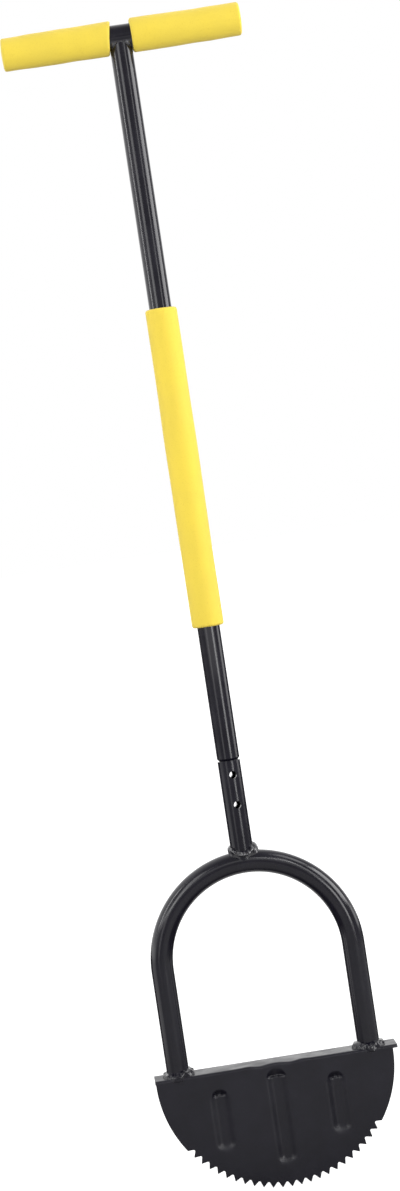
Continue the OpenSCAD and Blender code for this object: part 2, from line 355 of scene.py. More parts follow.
def punch_mark(across, down, s, size):
    """Depth of the punch mark at a rib's head, across from the rib's middle and down from its upper end.

    A roof slopes in from a half ellipse to a level lip, and a smooth step brings the lip back out. A shallow
    ridge parts the mark in the middle.
    """
    wide, high = s.mark_wide * size, s.mark_high * size
    edge = high * (1 - np.sqrt(np.maximum(1 - np.square(2 * across / wide), 0)))
    roof = np.clip(np.minimum(down, high) - edge, 0, None) * s.mark_deep / high
    ridge_high, ridge_wide = 0.25, 0.09 * wide
    ridge = 1 - ridge_high * bell(across / ridge_wide)
    return roof * ridge * (1 - smooth((down - high) / s.mark_lip))


def rib_press(x, z, s, grow):
    """Depth that the ribs are pressed in at x, z: a smooth step across each rib's rim.

    The distance runs from the rib's middle line, so its ends are round. The lower end also fades out along
    the rib, and a punch mark deepens the upper end. grow widens the rib for the sheet's back.
    """
    half = s.rib_mouth / 2
    depth = np.zeros_like(x)
    ribs = [(0.0, s.mid_rib_foot, s.mid_rib_head, s.mid_mark)]
    ribs += [(side * s.side_rib_x, s.side_rib_foot, s.side_rib_head, 1.0) for side in (-1, 1)]
    for middle, foot, head, size in ribs:
        off = np.hypot(x - middle, np.maximum(np.maximum(foot + half - z, z - head + half), 0))
        trough = s.rib_depth * smooth((half + grow - off) / s.rib_flank) * smooth((z - foot) / s.rib_fade)
        depth += np.maximum(trough, punch_mark(x - middle, head - z, s, size))
    return depth


def soft_press(x, z, s, grow):
    """The ribs' depth averaged over nine places a crease's rounding apart, which rounds every crease."""
    near = (-s.crease_r, 0, s.crease_r)
    return np.mean([rib_press(x + dx, z + dz, s, grow) for dx in near for dz in near], axis=0)


def bend_wave(points, s, plate_top):
    """Lifts and dips the bend beside the middle rib.

    The wave is a sum of bells along x, and fades down the plate and back over the tread.
    """
    x, y, z = points[..., 0], points[..., 1], points[..., 2]
    half = s.rib_mouth / 2
    along = 0.6 * bell(x / (0.6 * half)) - bell((np.abs(x) - 1.4 * half) / (0.55 * half))
    along += 0.55 * bell((np.abs(x) - 2.5 * half) / (0.6 * half))
    fade = 0.8 * half
    below = bell(np.minimum(z - plate_top, 0) / fade)
    behind = bell(np.maximum(y - FACE_Y - s.bend_r - s.sheet, 0) / fade)
    lifted = points.copy()
    lifted[..., 2] += s.wave * along * below * behind
    return lifted


def plate_points(s, plate_top):
    """Grid of the half-moon plate: from the bend down its front, round its edge and up its back.

    Columns fan out from the bend to the edge. Rows run to a ring inside the teeth, closer where the punch
    marks lie, then to the edge, whose corners are quarter rounds. Returns the grid and the x places of its
    upper boundary.
    """
    top = plate_top - s.radius
    theta, edge = edge_angles(s, top)
    ring = s.radius - s.tooth_depth - s.root_r
    fan = 0.93
    marks_end = 0.2
    near, far = np.linspace(0, marks_end, MARK_ROWS), np.linspace(marks_end, 1, PLATE_ROWS)
    v = np.concatenate([near, far[1:]])[:, None]
    inner_x = ring * (fan * theta / theta[-1] * (1 - v) + np.sin(theta) * v)
    inner_z = top * (1 - v) - ring * np.cos(theta) * v
    w = np.linspace(0, 1, TOOTH_ROWS)[1:, None]
    outer_r = ring + (edge - s.edge_round - ring) * w
    x = np.vstack([inner_x, outer_r * np.sin(theta)])
    z = np.vstack([inner_z, -outer_r * np.cos(theta)])
    z[:, [0, -1]] = top
    z += s.radius
    grow = s.sheet * math.tan(math.atan(math.pi / 2 * s.rib_depth / s.rib_flank) / 2)
    front = np.stack([x, FACE_Y + soft_press(x, z, s, 0.0), z], axis=-1)
    back = np.stack([x, FACE_Y + s.sheet + soft_press(x, z, s, grow), z], axis=-1)
    turn = np.radians([45, 90])
    inset = np.concatenate([s.edge_round * (1 - np.sin(turn)), s.edge_round * (1 - np.sin(turn[::-1]))])
    drop = s.edge_round * (1 - np.cos(turn))
    drop = np.concatenate([drop, s.sheet - drop[::-1]])
    rim_r = edge[None, :] - inset[:, None]
    rim_z = s.radius - rim_r * np.cos(theta)
    rim_z[:, [0, -1]] = plate_top
    rim_y = np.broadcast_to(FACE_Y + drop[:, None], rim_r.shape)
    rim = np.stack([rim_r * np.sin(theta), rim_y, rim_z], axis=-1)
    upper_x = np.concatenate([x[:0:-1, 0], x[0], x[1:, -1]]) + s.plate_shift
    plate = np.concatenate([front, rim, back[::-1]])
    plate[..., 0] += s.plate_shift
    return plate, upper_x


def tread_section(s, plate_top):
    """Section of bend and tread as y, z points: up round the bend, back over the top, and home underneath.

    The bend is two quarter circles about one centre. The back edge has quarter rounds.
    """
    centre = np.array([FACE_Y + s.bend_r + s.sheet, plate_top])
    turn = np.radians(np.linspace(180, 90, BEND_STEPS))[:, None]
    ring = np.hstack([np.cos(turn), np.sin(turn)])
    flat_y = np.linspace(centre[0], BACK_Y - s.edge_round, TREAD_STEPS)[1:, None]
    upper = np.hstack([flat_y, np.full_like(flat_y, TREAD_TOP)])
    lower = np.hstack([flat_y, np.full_like(flat_y, TREAD_TOP - s.sheet)])
    corner = np.radians([45, 0])
    e = s.edge_round
    round_y = BACK_Y - e + e * np.cos(corner)
    round_z = e * np.sin(corner)
    top_round = np.stack([round_y, TREAD_TOP - e + round_z], axis=-1)
    low_round = np.stack([round_y, TREAD_TOP - s.sheet + e - round_z], axis=-1)
    out = np.vstack([centre + (s.bend_r + s.sheet) * ring, upper, top_round])
    home = np.vstack([centre + s.bend_r * ring, lower, low_round])
    return np.vstack([out, home[::-1]])


def tread_points(s, plate_top, upper_x):
    """The tread's section carried along x over the plate's upper boundary and out to both ears.

    At each end the section shrinks towards its middle line by the edge's rounding.
    """
    section = tread_section(s, plate_top)
    middle = (section + section[::-1]) / 2
    small = section + (middle - section) * (2 * s.edge_round / s.sheet)
    shrink = 0.3
    ear = np.array([TREAD_HALF - s.edge_round, TREAD_HALF - shrink * s.edge_round, TREAD_HALF])
    x = np.concatenate([s.tread_shift - ear[::-1], upper_x, s.tread_shift + ear])
    blend = np.zeros(len(x))
    blend[[0, -1]] = 1.0
    blend[[1, -2]] = shrink
    yz = section[:, None, :] + (small - section)[:, None, :] * blend[None, :, None]
    xs = np.broadcast_to(x[None, :, None], (len(section), len(x), 1))
    return np.concatenate([xs, yz], axis=-1)


def blade_surface(s):
    """All points and quads of the blade.

    They are the plate's and the tread's grid, the tread's end faces, the ears' undersides and the two ends of
    the plate's rim below the tread.
    """
    plate_top = TREAD_TOP - s.bend_r - s.sheet
    plate, upper_x = plate_points(s, plate_top)
    tread = tread_points(s, plate_top, upper_x)
    rows, cols = tread.shape[:2]
    shift = plate.shape[0] * plate.shape[1]
    index = shift + np.arange(rows * cols).reshape(rows, cols)
    i = np.arange(rows // 2 - 1)
    caps = [np.stack([index[i, c], index[i + 1, c], index[rows - 2 - i, c], index[rows - 1 - i, c]], axis=-1)
            for c in (0, cols - 1)]
    ear = np.concatenate([np.arange(3), np.arange(cols - 4, cols - 1)])
    under = np.stack([index[0, ear], index[0, ear + 1], index[-1, ear + 1], index[-1, ear]], axis=-1)
    grid = np.arange(shift).reshape(plate.shape[:2])
    rim = plate.shape[0] // 2 - 3 + np.array([[0, 1, 4, 5], [1, 2, 3, 4]])
    rim_ends = [grid[rim, c] for c in (0, -1)]
    quads = np.vstack([grid_quads(*plate.shape[:2]), grid_quads(rows, cols) + shift, *caps, under, *rim_ends])
    points = np.concatenate([plate.reshape(-1, 3), tread.reshape(-1, 3)])
    return bend_wave(points, s, plate_top), quads


# Weld beads

def ring_angles(rows):
    """Evenly spaced angles round a tube, from +X towards +Y."""
    return np.linspace(0, 2 * np.pi, rows, endpoint=False)


def lumps(rng, rows, cols, number, wide=0.5):
    """Blobs on a bead's grid of angles round the tube by steps across the bead, between about 0 and 1.

    A sum of bells at jittered places. wide is a blob's half width as a share of its step round the tube.
    """
    high = 0.33
    a = ring_angles(rows)[:, None]
    t = np.linspace(0, 1, cols)[None, :]
    total = np.zeros((rows, cols))
    for k in range(number):
        at = 2 * np.pi * (k + rng.uniform(-0.3, 0.3)) / number
        gap = np.angle(np.exp(1j * (a - at))) * number / (2 * np.pi)
        total += rng.uniform(0.35, 1.0) * bell(gap / wide) * bell((t - rng.uniform(0.2, 0.8)) / high)
    return total


def drift(rng, rows, waves):
    """Slow change round a tube, about zero: a few waves of random phase, weaker the shorter they are."""
    a = ring_angles(rows)
    return sum(np.cos(k * a + rng.uniform(0, 2 * np.pi)) / k for k in range(1, waves + 1)) / 2


def fillet(wall, foot, root, bulge, skew=1.0):
    """Closed bead along a seam. Each section runs from a wall point over a round back to a foot point.

    wall, foot and root hold one point per angle. The round back is the chord from wall to foot, lifted off
    the root by 4u(1 - u) times the bulge, which is given for each angle and step. u is t to the power skew,
    so a skew below 1 moves the back's crest towards the wall. The root closes the section inside.
    """
    t = np.linspace(0, 1, bulge.shape[1])[None, :, None]
    chord = foot - wall
    along = np.roll(wall + foot, -1, axis=0) - np.roll(wall + foot, 1, axis=0)
    out = np.cross(along, chord)
    out *= np.sign(np.sum(out * ((wall + foot) / 2 - root), axis=1, keepdims=True))
    out /= np.linalg.norm(out, axis=1, keepdims=True)
    hump = 4 * t**skew * (1 - t**skew)
    back = wall[:, None] + chord[:, None] * t + out[:, None] * hump * bulge[..., None]
    return np.concatenate([back, root[:, None]], axis=1)


def round_tube(radius, a, z):
    """Points at angles a and heights z on an upright tube about the Z axis."""
    return np.stack([radius * np.cos(a), radius * np.sin(a), np.broadcast_to(z, a.shape)], axis=-1)


def leg_bead(s, blade, rng, rows, cols):
    """Bead between a leg, taken at the Z axis, and the tread: it spills over the bend in front.

    Its reach up the leg and out on the tread drifts round the leg. Large and small lumps lie on its back.
    """
    a = ring_angles(rows)
    up = s.leg_reach * (0.95 + 0.3 * drift(rng, rows, 7))
    out = s.leg_reach * (1.0 + 0.3 * drift(rng, rows, 7))
    foot = round_tube(ARCH_R + out, a, 0)
    foot[:, 2] = tread_height(foot[:, 1], blade) - s.sunk
    bulge = s.leg_reach * (0.16 + s.lump * lumps(rng, rows, cols, s.leg_lumps, wide=0.45))
    bulge += 0.35 * s.lump * s.leg_reach * lumps(rng, rows, cols, s.leg_grains)
    return fillet(round_tube(ARCH_R - s.sunk, a, TREAD_TOP + up), foot,
                  round_tube(ARCH_R - 2 * s.sunk, a, TREAD_TOP - 2 * s.sunk), bulge)


def arch_point(run, turn, radius):
    """Points on the bent part of the arch, by two angles.

    run goes along the bend from the crown, and turn goes about the tube from its top to -Y.
    """
    reach = LEG_X + radius * np.cos(turn)
    return np.stack([reach * np.sin(run), -radius * np.sin(turn), BEND_Z + reach * np.cos(run)], axis=-1)


def crown_bead(s, rng, rows, cols):
    """Bead between socket and arch. The seam is where the two tubes meet, smoothed where it dips in front.

    The bead fills the dip, lumpy above and flush with the tubes below. It climbs the socket at both sides,
    and is a little heavier on the right.
    """
    blur = 0.35
    a = ring_angles(rows)
    x, y = SOCKET_R * np.cos(a), SOCKET_R * np.sin(a)
    turn = np.arcsin(np.clip(-y / ARCH_R, -1, 1))
    run = np.arcsin(x / (LEG_X + ARCH_R * np.cos(turn)))
    near = bell(np.angle(np.exp(1j * (a[:, None] - a[None, :]))) / blur)
    seam, turn, run = (near @ value / near.sum(axis=1) for value in (crown_height(x, y), turn, run))
    # heavy is largest on the right, and dip is 1 at the front and the back, where the seam dips
    heavy = 0.25 * np.cos(a + 0.35)
    dip = smooth((np.abs(np.sin(a)) - 0.5) / 0.4)
    up = np.maximum(seam.max() - s.crown_dip - seam, 0)
    up += s.crown_reach * (1.5 + 0.2 * heavy + 0.2 * drift(rng, rows, 6))
    out = s.crown_reach * (1 - 0.8 * dip) * (0.7 + heavy + 0.15 * drift(rng, rows, 6))
    foot = arch_point(run + out * np.cos(a) / LEG_X, turn - out * np.sin(a) / ARCH_R, ARCH_R - s.sunk)
    rough = 1.9 * lumps(rng, rows, cols, s.crown_lumps) + 0.8 * lumps(rng, rows, cols, s.crown_grains)
    flush = dip[:, None] * smooth((np.linspace(0, 1, cols) - 0.42) / 0.2)
    bulge = s.crown_reach * (0.4 + s.lump * rough) * (0.65 + 0.7 * dip[:, None]) * (1 - 0.95 * flush)
    return fillet(round_tube(SOCKET_R - s.sunk, a, seam + up), foot,
                  round_tube(SOCKET_R - 2 * s.sunk, a, seam - 3 * s.sunk), bulge, skew=0.6)


def bar_bead(s, rng, rows, cols):
    """Bead between shaft and crossbar, below the bar. It fills the seam's falling corners up to a level line.

    It thins to nothing at the sides, where the grips sit.
    """
    a = ring_angles(rows)
    turn = np.arcsin(SHAFT_R * np.abs(np.sin(a)) / BAR_R)
    seam = BAR_Z - BAR_R * np.cos(turn)
    face = smooth((np.abs(np.sin(a)) - 0.4) / 0.3)
    corner = np.maximum(math.acos(s.bar_line / BAR_R) - turn, 0)
    lip = s.bar_reach / BAR_R * (0.45 + 0.35 * drift(rng, rows, 7))
    foot_turn = turn + face * (corner + lip)
    under = BAR_R - s.sunk
    foot = np.stack([SHAFT_R * np.cos(a), under * np.sin(foot_turn) * np.sign(np.sin(a)),
                     BAR_Z - under * np.cos(foot_turn)], axis=-1)
    up = s.bar_reach * face * (0.6 + 0.3 * drift(rng, rows, 7))
    rough = 1.3 * lumps(rng, rows, cols, s.bar_lumps, wide=0.45)
    bulge = s.bar_reach * (0.1 + s.lump * rough) * face[:, None]
    return fillet(round_tube(SHAFT_R - s.sunk, a, seam - up), foot,
                  round_tube(SHAFT_R - 2 * s.sunk, a, seam + 2 * s.sunk), bulge)


def tread_height(y, s):
    """Height of the tread's upper side at y: flat, then falling round the bend to the blade's face."""
    bend = s.bend_r + s.sheet
    into = np.clip(FACE_Y + bend - y, 0, bend)
    return TREAD_TOP - bend + np.sqrt(bend**2 - into**2)


def crown_height(x, y):
    """Height of the arch's upper surface over x, y: the outer side of its bent tube."""
    out = LEG_X + np.sqrt(np.maximum(ARCH_R**2 - y * y, 0))
    return BEND_Z + np.sqrt(np.maximum(out**2 - x * x, 0))


# Foam grips

def sleeve_profile(long, bore, start_r, end_r, rim, closed_crown):
    """Closed profile of a foam sleeve as places along its axis and radii, from the bore's mouth and back.

    Rims are quarter rounds. With a closed_crown above zero the far end is shut, three rims thick, and bulges
    by that much.
    """
    turn = np.radians(np.linspace(-90, 0, RIM_STEPS))
    start = np.stack([rim + rim * np.sin(turn), start_r - rim + rim * np.cos(turn)], axis=-1)
    run = np.linspace(rim, long - rim, SLEEVE_STEPS)[1:-1]
    side = np.stack([run, start_r + (end_r - start_r) * (run - rim) / (long - 2 * rim)], axis=-1)
    turn = np.radians(np.linspace(0, 90, RIM_STEPS))
    end = np.stack([long - rim + rim * np.sin(turn), end_r - rim + rim * np.cos(turn)], axis=-1)
    if closed_crown:
        r = np.linspace(end_r - rim, 0, DOME_STEPS)[1:]
        dome = np.stack([long + closed_crown * (1 - np.square(r / (end_r - rim))), r], axis=-1)
        inside = np.array([[long - 3 * rim, 0], [long - 3 * rim, bore], [0, bore]])
        return np.vstack([start, side, end, dome, inside])
    inside = np.stack([np.linspace(long, 0, BORE_STEPS), np.full(BORE_STEPS, bore)], axis=-1)
    return np.vstack([start, side, end, inside])


def revolve(profile, sag, seed):
    """A profile turned about its axis, with slow unevenness: a few waves of random phase along and around.

    Returns places along the axis and two across it, on a grid of profile points by angles. The bore stays
    even.
    """
    waves, pace, even_skin = 6, 1.3, 2 * MM
    rng = np.random.default_rng(seed)
    a = ring_angles(GRIP_COLS)[None, :]
    along, r = profile[:, :1], profile[:, 1:]
    long = np.ptp(profile[:, 0])
    uneven = np.zeros((len(profile), GRIP_COLS))
    for k in range(1, waves + 1):
        phase = rng.uniform(0, 2 * np.pi, 2)
        uneven += np.sin(k * np.pi * along / long * pace + phase[0]) * np.cos((k % 3) * a + phase[1]) / k
    outside = smooth((r - BAR_R) / even_skin)
    r = r + sag * uneven * outside
    return np.broadcast_to(along, r.shape), r * np.cos(a), r * np.sin(a)


# Materials

def new_material(name):
    """An empty node material with a Principled shader, returned with its node tree and shader."""
    material = bpy.data.materials.new(name)
    material.use_nodes = True
    tree = material.node_tree
    return material, tree, tree.nodes["Principled BSDF"]


def add(tree, kind, inputs=None, **settings):
    """A node of that kind, with its settings, and each input set to a value or linked to a socket."""
    node = tree.nodes.new(kind)
    for key, value in settings.items():
        setattr(node, key, value)
    for key, value in (inputs or {}).items():
        if isinstance(value, bpy.types.NodeSocket):
            tree.links.new(value, node.inputs[key])
        else:
            node.inputs[key].default_value = value
    return node


def new_group(name, inputs, outputs):
    """A shader node group with float or vector inputs and float outputs, returned with its two end nodes."""
    group = bpy.data.node_groups.new(name, "ShaderNodeTree")
    for label, kind, value in inputs:
        socket = group.interface.new_socket(name=label, in_out="INPUT", socket_type=kind)
        if value is not None:
            socket.default_value = value
    for label, kind in outputs:
        group.interface.new_socket(name=label, in_out="OUTPUT", socket_type=kind)
    return group, group.nodes.new("NodeGroupInput"), group.nodes.new("NodeGroupOutput")


def ramp(tree, value, low, high):
    """A value stretched from low..high to 0..1 with a smooth step."""
    node = add(tree, "ShaderNodeMapRange", {"Value": value, "From Min": low, "From Max": high},
               interpolation_type="SMOOTHSTEP")
    return node.outputs["Result"]


def maths(tree, operation, first, second):
    """One Math node on two values or sockets."""
    node = add(tree, "ShaderNodeMath", {0: first, 1: second}, operation=operation)
    return node.outputs[0]


def noise(tree, vector, scale, detail, roughness=0.5):
    """The value of one Noise Texture node, about 0.5."""
    node = add(tree, "ShaderNodeTexNoise", {"Vector": vector, "Scale": scale, "Detail": detail,
                                            "Roughness": roughness})
    return node.outputs["Fac"]


def mix_colours(tree, factor, first, second):
    """A colour between a first colour or socket and a second colour, by one Mix node."""
    if not isinstance(first, bpy.types.NodeSocket):
        first = (*first, 1)
    node = add(tree, "ShaderNodeMix", {"Factor": factor, "A": first, "B": (*second, 1)}, data_type="RGBA")
    return node.outputs["Result"]


def scaled(base, factor):
    """A colour times a factor."""
    return [factor * c for c in base]


def patterned_material(name, group):
    """A material with a pattern group on Object coordinates, returned with its tree, shader and group."""
    material, tree, shader = new_material(name)
    where = add(tree, "ShaderNodeTexCoord")
    pattern = add(tree, "ShaderNodeGroup", {"Vector": where.outputs["Object"]}, node_tree=group)
    return material, tree, shader, pattern


def finish_shader(tree, shader, base, gloss, rough, height, depth, strength, invert=False):
    """Feeds the Principled shader: a colour, a roughness between two values by a mask, and a bump."""
    level = add(tree, "ShaderNodeMapRange", {"Value": gloss, "To Min": rough[0], "To Max": rough[1]})
    bump = add(tree, "ShaderNodeBump", {"Height": height, "Distance": depth, "Strength": strength},
               invert=invert)
    tree.links.new(base, shader.inputs["Base Color"])
    tree.links.new(level.outputs["Result"], shader.inputs["Roughness"])
    tree.links.new(bump.outputs["Normal"], shader.inputs["Normal"])


def paint_skin_group():
    """Sprayed paint: slow mottle, orange peel and sparse dust, as Mottle, Peel and Dust from 0 to 1."""
    f = "NodeSocketFloat"
    group, ins, outs = new_group(
        "paint_skin",
        [("Vector", "NodeSocketVector", None), ("Mottle Scale", f, 45.0), ("Peel Scale", f, 380.0),
         ("Dust Scale", f, 420.0)],
        [("Mottle", f), ("Peel", f), ("Dust", f)])
    vector = ins.outputs["Vector"]
    mottle = noise(group, vector, ins.outputs["Mottle Scale"], 4.0, roughness=0.6)
    peel = noise(group, vector, ins.outputs["Peel Scale"], 1.0)
    grain = noise(group, vector, ins.outputs["Dust Scale"], 5.0, roughness=0.7)
    patches = ramp(group, mottle, 0.45, 0.75)
    specks = ramp(group, grain, 0.56, 0.78)
    group.links.new(ramp(group, mottle, 0.3, 0.7), outs.inputs["Mottle"])
    group.links.new(peel, outs.inputs["Peel"])
    group.links.new(maths(group, "MULTIPLY", specks, patches), outs.inputs["Dust"])
    return group


def foam_cells_group():
    """Closed-cell foam: Pore is 1 in the small pits between cells, Cloud is a slow change of tone."""
    f = "NodeSocketFloat"
    group, ins, outs = new_group(
        "foam_cells",
        [("Vector", "NodeSocketVector", None), ("Cell Scale", f, 1400.0)],
        [("Pore", f), ("Cloud", f)])
    vector, scale = ins.outputs["Vector"], ins.outputs["Cell Scale"]
    cell = add(group, "ShaderNodeTexVoronoi", {"Vector": vector, "Scale": scale}, feature="SMOOTH_F1")
    pick = noise(group, vector, maths(group, "MULTIPLY", scale, 0.45), 3.0)
    pit = ramp(group, cell.outputs["Distance"], 0.45, 0.1)
    open_pit = maths(group, "MULTIPLY", pit, ramp(group, pick, 0.42, 0.66))
    cloud = noise(group, vector, 26.0, 3.0)
    group.links.new(open_pit, outs.inputs["Pore"])
    group.links.new(ramp(group, cloud, 0.3, 0.7), outs.inputs["Cloud"])
    return group


def paint_material(name, group, base, dust, rough, peel, lift=1.35, dust_share=0.14):
    """Black paint: base colour lifted by mottle and dust, roughness that drifts, and orange-peel bump."""
    material, tree, shader, skin = patterned_material(name, group)
    mottle = skin.outputs["Mottle"]
    lifted = mix_colours(tree, mottle, base, scaled(base, lift))
    dusty = mix_colours(tree, maths(tree, "MULTIPLY", skin.outputs["Dust"], dust_share), lifted, dust)
    finish_shader(tree, shader, dusty, mottle, (0.8 * rough, 1.25 * rough), skin.outputs["Peel"], peel, 0.5)
    return material


def foam_material(group, colours, shade=0.95, pore_share=0.4, pore_depth=0.25 * MM):
    """Yellow foam: matt, with painted shade darkening the pits and a slow change of tone."""
    material, tree, shader, cells = patterned_material("soft_yellow", group)
    pore, cloud = cells.outputs["Pore"], cells.outputs["Cloud"]
    skin = mix_colours(tree, cloud, scaled(colours.foam, shade), colours.foam)
    # Painted shade darkens the pits
    pitted = mix_colours(tree, maths(tree, "MULTIPLY", pore, pore_share), skin, colours.pore_shade)
    finish_shader(tree, shader, pitted, cloud, (0.72, 0.82), pore, pore_depth, 0.45, invert=True)
    shader.inputs["Sheen Weight"].default_value = 0.15
    return material


def material(name):
    """A material made earlier by the paint and foam operator."""
    return bpy.data.materials[name]


# Stage

def look_matrix(eye, target, roll):
    """Camera matrix from its place, the point it looks at, and its turn about that line."""
    ahead = (Vector(target) - Vector(eye)).normalized()
    right = ahead.cross(Vector((0, 0, 1))).normalized()
    up = right.cross(ahead)
    c, s = math.cos(roll), math.sin(roll)
    axes = Matrix((c * right - s * up, s * right + c * up, -ahead)).transposed().to_4x4()
    return Matrix.Translation(eye) @ axes


def soft_box(name, place_at, aim_z, width, height, radiance):
    """A rectangular area light of even radiance, turned to face the handle's axis at the height aim_z.

    Its power is pi times its area times the radiance.
    """
    light = bpy.data.lights.new(name, "AREA")
    light.shape = "RECTANGLE"
    light.size, light.size_y = width, height
    light.energy = math.pi * width * height * radiance
    lamp = bpy.data.objects.new(name, light)
    lamp.location = place_at
    lamp.visible_camera = False
    lamp.rotation_euler = (Vector((0, 0, aim_z)) - Vector(place_at)).to_track_quat("-Z", "Y").to_euler()
    bpy.context.scene.collection.objects.link(lamp)


def around(degrees, distance, z):
    """A point at that distance from the handle, turned from the camera's side towards +X."""
    a = math.radians(degrees)
    return (distance * math.sin(a), -distance * math.cos(a), z)


def camera_switch(tree, other, camera):
    """One shader for what the camera sees and another for all other rays."""
    path = add(tree, "ShaderNodeLightPath")
    mix = add(tree, "ShaderNodeMixShader", {0: path.outputs["Is Camera Ray"], 1: other.outputs[0],
                                            2: camera.outputs[0]})
    return mix.outputs[0]


def studio_world(s):
    """White to the camera. Other rays see a dim room, brighter at the left and the back."""
    world = bpy.data.worlds.new("studio")
    world.use_nodes = True
    tree = world.node_tree
    tree.nodes.clear()
    where = add(tree, "ShaderNodeTexCoord")
    axis = add(tree, "ShaderNodeSeparateXYZ", {"Vector": where.outputs["Generated"]})
    side = maths(tree, "SUBTRACT", maths(tree, "MULTIPLY", axis.outputs["Y"], 0.8),
                 maths(tree, "MULTIPLY", axis.outputs["X"], 0.5))
    behind = maths(tree, "MULTIPLY", ramp(tree, side, -0.3, 0.65), s.room_glow)
    level = maths(tree, "ADD", behind, s.room)
    room = add(tree, "ShaderNodeBackground", {"Strength": level})
    white = add(tree, "ShaderNodeBackground", {"Color": (1, 1, 1, 1)})
    add(tree, "ShaderNodeOutputWorld", {"Surface": camera_switch(tree, room, white)})
    return world


def floor_material(s):
    """Pale floor: nearly white to the camera, a trace darker near the blade, and dimmer to the object.

    What the object mirrors of it is darker close by on both sides, which is a painted shadow of the tool, and
    far out behind. It is lighter straight behind, which is painted light.
    """
    # Painted shadow beside the blade and painted light behind it, both seen only in what the object mirrors
    painted_shadow_beside, painted_light_behind, far_dark = 0.36, 0.3, 0.62
    material, tree, shader = new_material("pale_floor")
    tree.nodes.remove(shader)
    where = add(tree, "ShaderNodeTexCoord")
    away = add(tree, "ShaderNodeVectorMath", {0: where.outputs["Object"]}, operation="LENGTH")
    axis = add(tree, "ShaderNodeSeparateXYZ", {"Vector": where.outputs["Object"]})
    wide = maths(tree, "ABSOLUTE", axis.outputs["X"], 0.0)
    aside = maths(tree, "SUBTRACT", wide, maths(tree, "ABSOLUTE", axis.outputs["Y"], 0.0))
    close = maths(tree, "SUBTRACT", 1.0, ramp(tree, away.outputs["Value"], 0.4, 0.75))
    # Painted shadow of the tool on the floor, close by on both sides
    beside = maths(tree, "MULTIPLY", ramp(tree, aside, -0.12, 0.1), close)
    far = maths(tree, "MULTIPLY", ramp(tree, wide, 0.12, 0.3), far_dark)
    lift = maths(tree, "SUBTRACT", painted_light_behind, far)
    back = maths(tree, "SUBTRACT", axis.outputs["Y"], maths(tree, "MULTIPLY", wide, 0.35))
    # Painted light on the floor straight behind the object
    behind = maths(tree, "MULTIPLY", ramp(tree, back, 0.0, 0.25), lift)
    front = maths(tree, "SUBTRACT", s.floor_tone, maths(tree, "MULTIPLY", beside, painted_shadow_beside))
    tone = maths(tree, "ADD", front, behind)
    matt = add(tree, "ShaderNodeBsdfDiffuse", {"Color": tone})
    level = add(tree, "ShaderNodeMapRange", {"Value": away.outputs["Value"], "From Min": 0.2, "From Max": 1.5,
                                             "To Min": 0.8, "To Max": 1.0}, interpolation_type="SMOOTHSTEP")
    glow = add(tree, "ShaderNodeEmission", {"Strength": level.outputs["Result"]})
    plain = add(tree, "ShaderNodeBsdfDiffuse", {"Color": (*[s.floor_tone] * 3, 1)})
    both = add(tree, "ShaderNodeAddShader", {0: plain.outputs[0], 1: glow.outputs[0]})
    tree.links.new(camera_switch(tree, matt, both), tree.nodes["Material Output"].inputs["Surface"])
    return material


# Operators

class EDGER_OT_finishes(Operator):
    """Makes the paint and foam materials and paints the tubes"""

    bl_idname = "edger.finishes"
    bl_label = "Paint and foam"

    def execute(self, context):
        s = context.scene.edger_colours
        skin = paint_skin_group()
        paint_material("gloss_black", skin, s.tube_paint, s.dust, s.tube_rough, s.tube_peel)
        paint_material("satin_black", skin, s.blade_paint, s.dust, s.blade_rough, s.blade_peel)
        paint_material("weld_black", skin, s.tube_paint, s.dust, s.weld_rough, s.weld_peel)
        thick = paint_material("thick_weld_black", skin, s.tube_paint, s.dust, s.weld_rough, s.weld_peel)
        shader = thick.node_tree.nodes["Principled BSDF"]
        shader.inputs["Specular IOR Level"].default_value = 0.7
        shader.inputs["Coat Weight"].default_value = 1.0
        foam_material(foam_cells_group(), s)
        for node in ("arch", "socket", "shaft", "crossbar"):
            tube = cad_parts[node]
            tube.data.materials.clear()
            tube.data.materials.append(material("gloss_black"))
        return {"FINISHED"}


class EDGER_OT_blade(Operator):
    """Adds the pressed half-moon blade with its ribs, teeth, bend and tread"""

    bl_idname = "edger.blade"
    bl_label = "Blade"

    def execute(self, context):
        points, quads = blade_surface(context.scene.edger_blade)
        piece = make_piece("half_moon_blade", points, quads, material("satin_black"), merge=0.02 * MM,
                           sharp=math.radians(50))
        place(piece, "head", "blade_paint", "blade")
        return {"FINISHED"}


class EDGER_OT_welds(Operator):
    """Adds the lumpy weld beads at the legs' feet, the arch's crown and the crossbar"""

    bl_idname = "edger.welds"
    bl_label = "Weld beads"

    def bead(self, name, body, node, points, paint="thick_weld_black"):
        """One bead as a closed ring piece."""
        piece = closed_piece(name, points, material(paint), merge=0.005 * MM)
        place(piece, body, "weld_paint", node)

    def execute(self, context):
        s, blade = context.scene.edger_welds, context.scene.edger_blade
        grid = (BEAD_ROWS, BEAD_COLS)
        rng = {name: np.random.default_rng(seed) for name, seed in SEEDS.items()}
        for side, word in ((-1, "left"), (1, "right")):
            name = f"{word}_foot_weld"
            ring = leg_bead(s, blade, rng[name], *grid)
            ring[..., 0] += side * LEG_X
            self.bead(name, "head", f"{word}_leg_weld", ring, "weld_black")
        crown = crown_bead(s, rng["arch_crown_weld"], *grid)
        self.bead("arch_crown_weld", "head", "crown_weld", crown)
        saddle = bar_bead(s, rng["crossbar_saddle_weld"], *grid)
        self.bead("crossbar_saddle_weld", "handle", "crossbar_weld", saddle)
        return {"FINISHED"}


